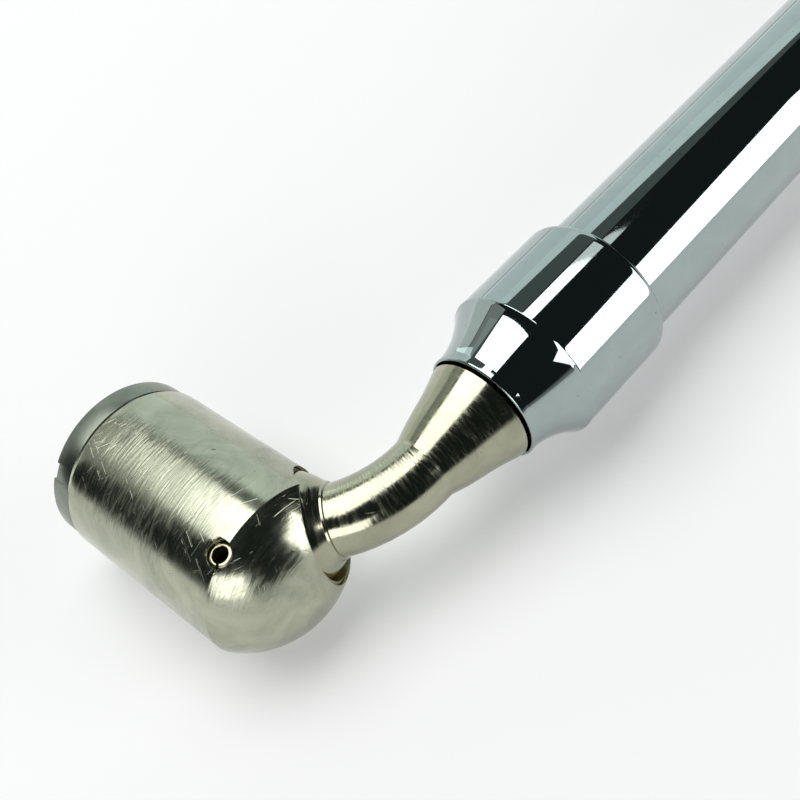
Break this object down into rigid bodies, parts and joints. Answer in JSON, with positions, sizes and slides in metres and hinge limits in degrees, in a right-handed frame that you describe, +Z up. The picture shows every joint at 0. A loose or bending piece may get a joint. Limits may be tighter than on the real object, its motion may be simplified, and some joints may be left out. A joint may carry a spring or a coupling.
{
  "type": "telescopic magnetic pickup tool",
  "caption": "Telescopic magnetic pickup tool: a cylindrical magnet head on a slanted swivel, a bent neck, nested chrome tubes and a rubber grip.",
  "frame": {"origin": "under the middle of the tool's box, on the bench that it lies on", "axes": "+X along the tube towards the rear end, +Y the way the magnet points, +Z up"},
  "size_m": [0.2038, 0.0424, 0.0239],
  "materials": {
    "nickel_plate": "satin nickel plate, turned",
    "plain_steel": "bare ground steel",
    "chrome_plate": "polished chrome plate",
    "brass": "bare",
    "spring_steel": "plain",
    "magnet": "nickel plated magnet",
    "nylon": "moulded",
    "grip_rubber": "moulded"
  },
  "bodies": {
    "root": {"outer_tube": "chrome_plate", "nose_ferrule": "chrome_plate", "guide_bush": "nylon", "grip": "grip_rubber", "end_cap": "chrome_plate"},
    "section_1_body": {"section_1": "chrome_plate", "friction_sleeve_1": "brass"},
    "section_2_body": {"section_2": "chrome_plate", "friction_sleeve_2": "brass"},
    "section_3_body": {"section_3": "chrome_plate", "friction_sleeve_3": "brass"},
    "tip_body": {"tip_tube": "chrome_plate", "friction_sleeve_4": "brass", "tip_bush": "brass"},
    "neck_body": {"swivel_neck": "nickel_plate", "neck_stud": "plain_steel"},
    "head_body": {"head_shell": "nickel_plate", "magnet_cup": "plain_steel", "magnet": "magnet", "pole_plate": "plain_steel", "spacer_ring": "brass", "roll_pin": "spring_steel", "swivel_bush": "brass", "friction_pad": "nylon", "wave_spring": "spring_steel"}
  },
  "joints": [
    {"name": "section_1_slide", "type": "slide", "parent": "root", "child": "section_1_body", "axis": [-1, 0, 0], "range_m": [0, 0.13]},
    {"name": "section_2_slide", "type": "slide", "parent": "section_1_body", "child": "section_2_body", "axis": [-1, 0, 0], "range_m": [0, 0.134]},
    {"name": "section_3_slide", "type": "slide", "parent": "section_2_body", "child": "section_3_body", "axis": [-1, 0, 0], "range_m": [0, 0.134]},
    {"name": "tip_slide", "type": "slide", "parent": "section_3_body", "child": "tip_body", "axis": [-1, 0, 0], "range_m": [0, 0.134]},
    {"name": "neck_spin", "type": "hinge", "parent": "tip_body", "child": "neck_body", "pos_m": [-0.07607, -0.00925, 0.01197], "axis": [1, 0, 0], "continuous": true},
    {"name": "head_swivel", "type": "hinge", "parent": "neck_body", "child": "head_body", "pos_m": [-0.09198, 0.0012, 0.0095], "axis": [0.7071, -0.6881, 0.1628], "continuous": true}
  ]
}
